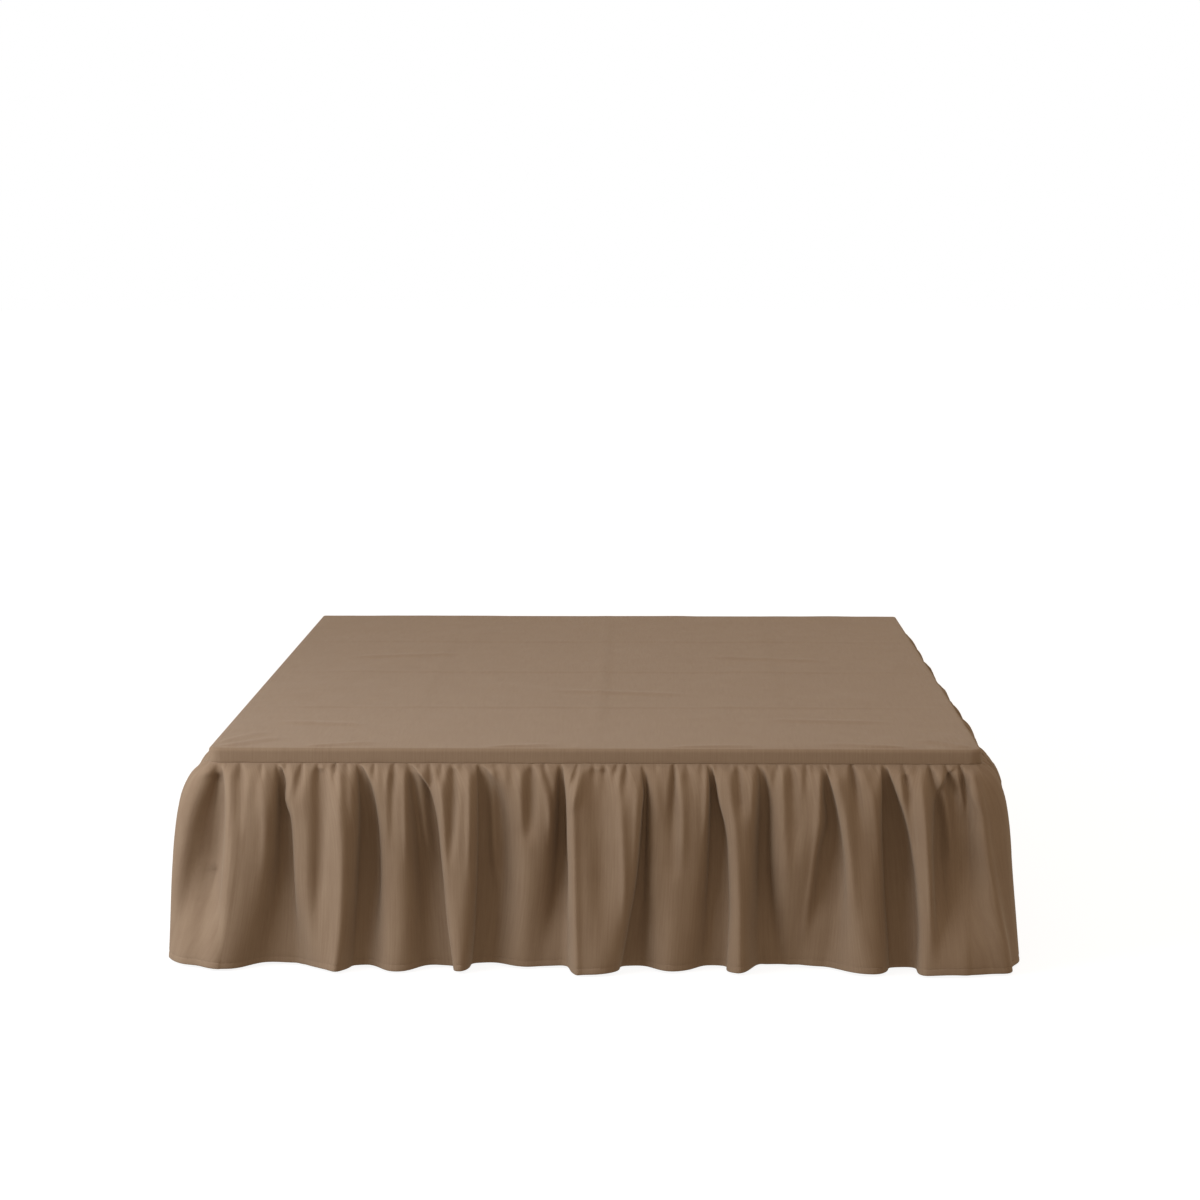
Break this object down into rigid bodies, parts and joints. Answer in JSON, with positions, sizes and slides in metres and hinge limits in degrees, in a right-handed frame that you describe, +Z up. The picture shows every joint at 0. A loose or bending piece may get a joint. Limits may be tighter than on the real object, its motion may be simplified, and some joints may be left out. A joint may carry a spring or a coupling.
{
  "type": "bed skirt on a bed base",
  "caption": "Gathered bed skirt: flat deck panel with a turned-down border and three hanging gathered drops, fitted over a plain bed base on short legs.",
  "frame": {"origin": "centre of the footprint, on the floor", "axes": "+Z up, the foot end of the bed towards -Y and the head end towards +Y, +X to the right as seen from the foot"},
  "size_m": [1.552, 2.0221, 0.3848],
  "materials": {
    "skirt_cloth": "matt plain-weave cotton, taupe brown",
    "base_fabric": "plain natural ticking",
    "leg_plastic": "moulded black plastic"
  },
  "bodies": {
    "root": {"deck_panel": "skirt_cloth", "foot_drop": "skirt_cloth", "left_drop": "skirt_cloth", "right_drop": "skirt_cloth", "bed_base": "base_fabric", "base_leg_left_1": "leg_plastic", "base_leg_left_2": "leg_plastic", "base_leg_left_3": "leg_plastic", "base_leg_right_1": "leg_plastic", "base_leg_right_2": "leg_plastic", "base_leg_right_3": "leg_plastic"}
  },
  "joints": []
}
